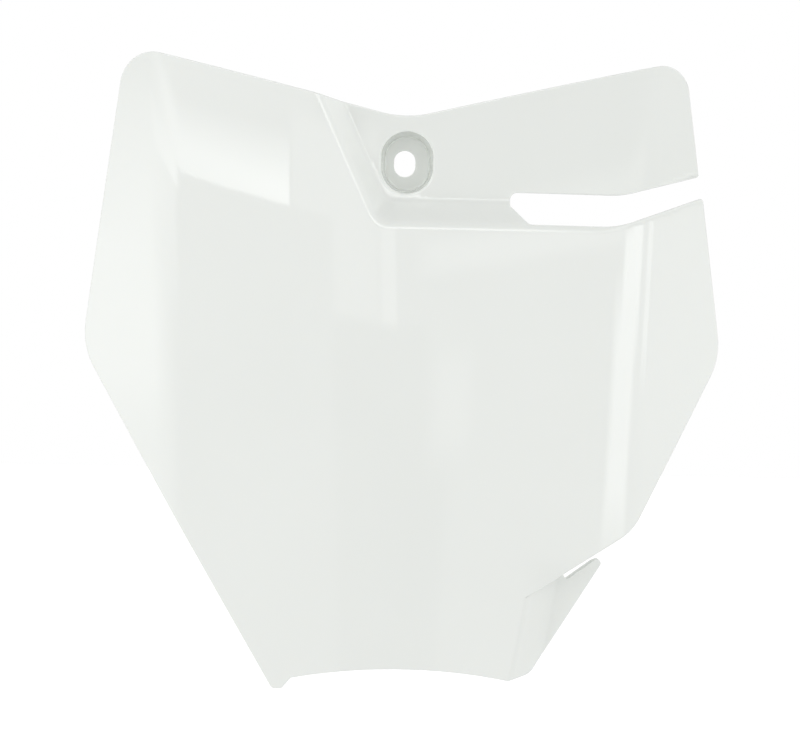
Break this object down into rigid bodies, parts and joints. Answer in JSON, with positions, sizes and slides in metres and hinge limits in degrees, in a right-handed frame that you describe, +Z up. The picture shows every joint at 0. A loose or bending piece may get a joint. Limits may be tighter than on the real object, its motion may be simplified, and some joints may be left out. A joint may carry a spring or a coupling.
{
  "type": "racing number board",
  "caption": "White moulded front number board for an off-road motorcycle, with swept wings, a bolt cup with an upright slot, a side slit for the hose and a guide tab.",
  "frame": {"origin": "middle of the bolt slot, on the seat plane at the back of the cup's floor", "axes": "+X to the right seen from the front, +Y to the rear along the bolt, +Z up along the slot"},
  "size_m": [0.2782, 0.0564, 0.2731],
  "materials": {
    "white_plastic": "gloss"
  },
  "bodies": {
    "root": {"number_board": "white_plastic"}
  },
  "joints": []
}
